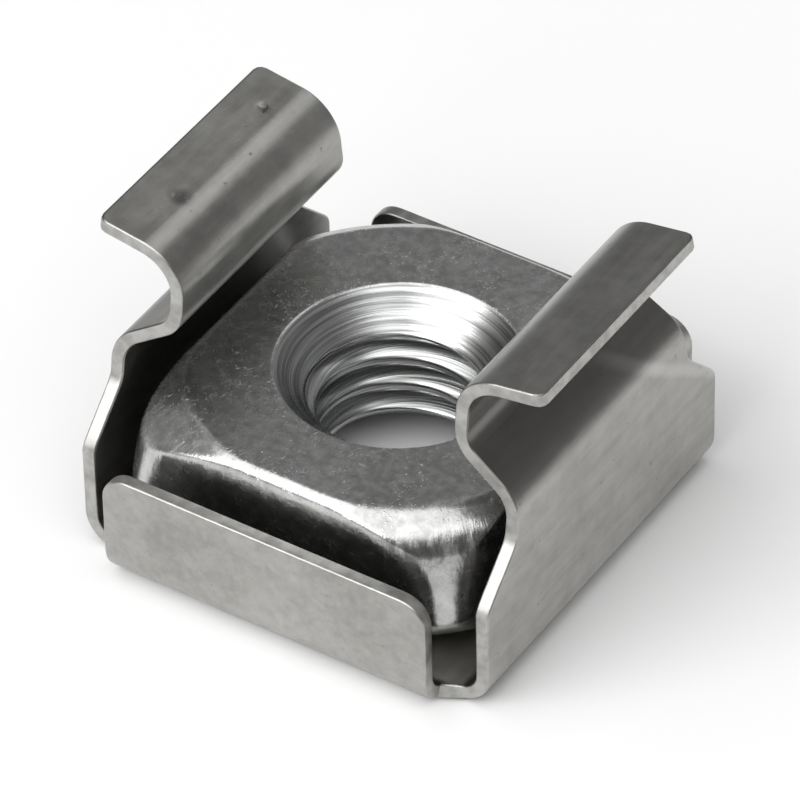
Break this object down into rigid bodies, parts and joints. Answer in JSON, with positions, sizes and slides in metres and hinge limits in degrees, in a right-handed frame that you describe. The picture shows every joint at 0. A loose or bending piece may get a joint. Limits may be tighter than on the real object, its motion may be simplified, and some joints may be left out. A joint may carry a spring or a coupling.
{
  "type": "rack cage nut",
  "caption": "Square nut with an M6 thread, loose in a folded spring-steel cage whose two arms snap into the square hole of an equipment rack.",
  "frame": {"origin": "centre of the screw hole in the underside of the cage, on the thread axis", "axes": "+Z along the thread axis, away from the base and towards the lips of the arms; X across the two spring arms, Y along them"},
  "size_m": [0.0152, 0.0148, 0.0105],
  "materials": {
    "spring_steel": "satin, fine rolling grain",
    "zinc_plate": "zinc-plated, speckled and slightly pitted"
  },
  "bodies": {
    "root": {"spring_cage": "spring_steel", "square_nut": "zinc_plate"}
  },
  "joints": []
}
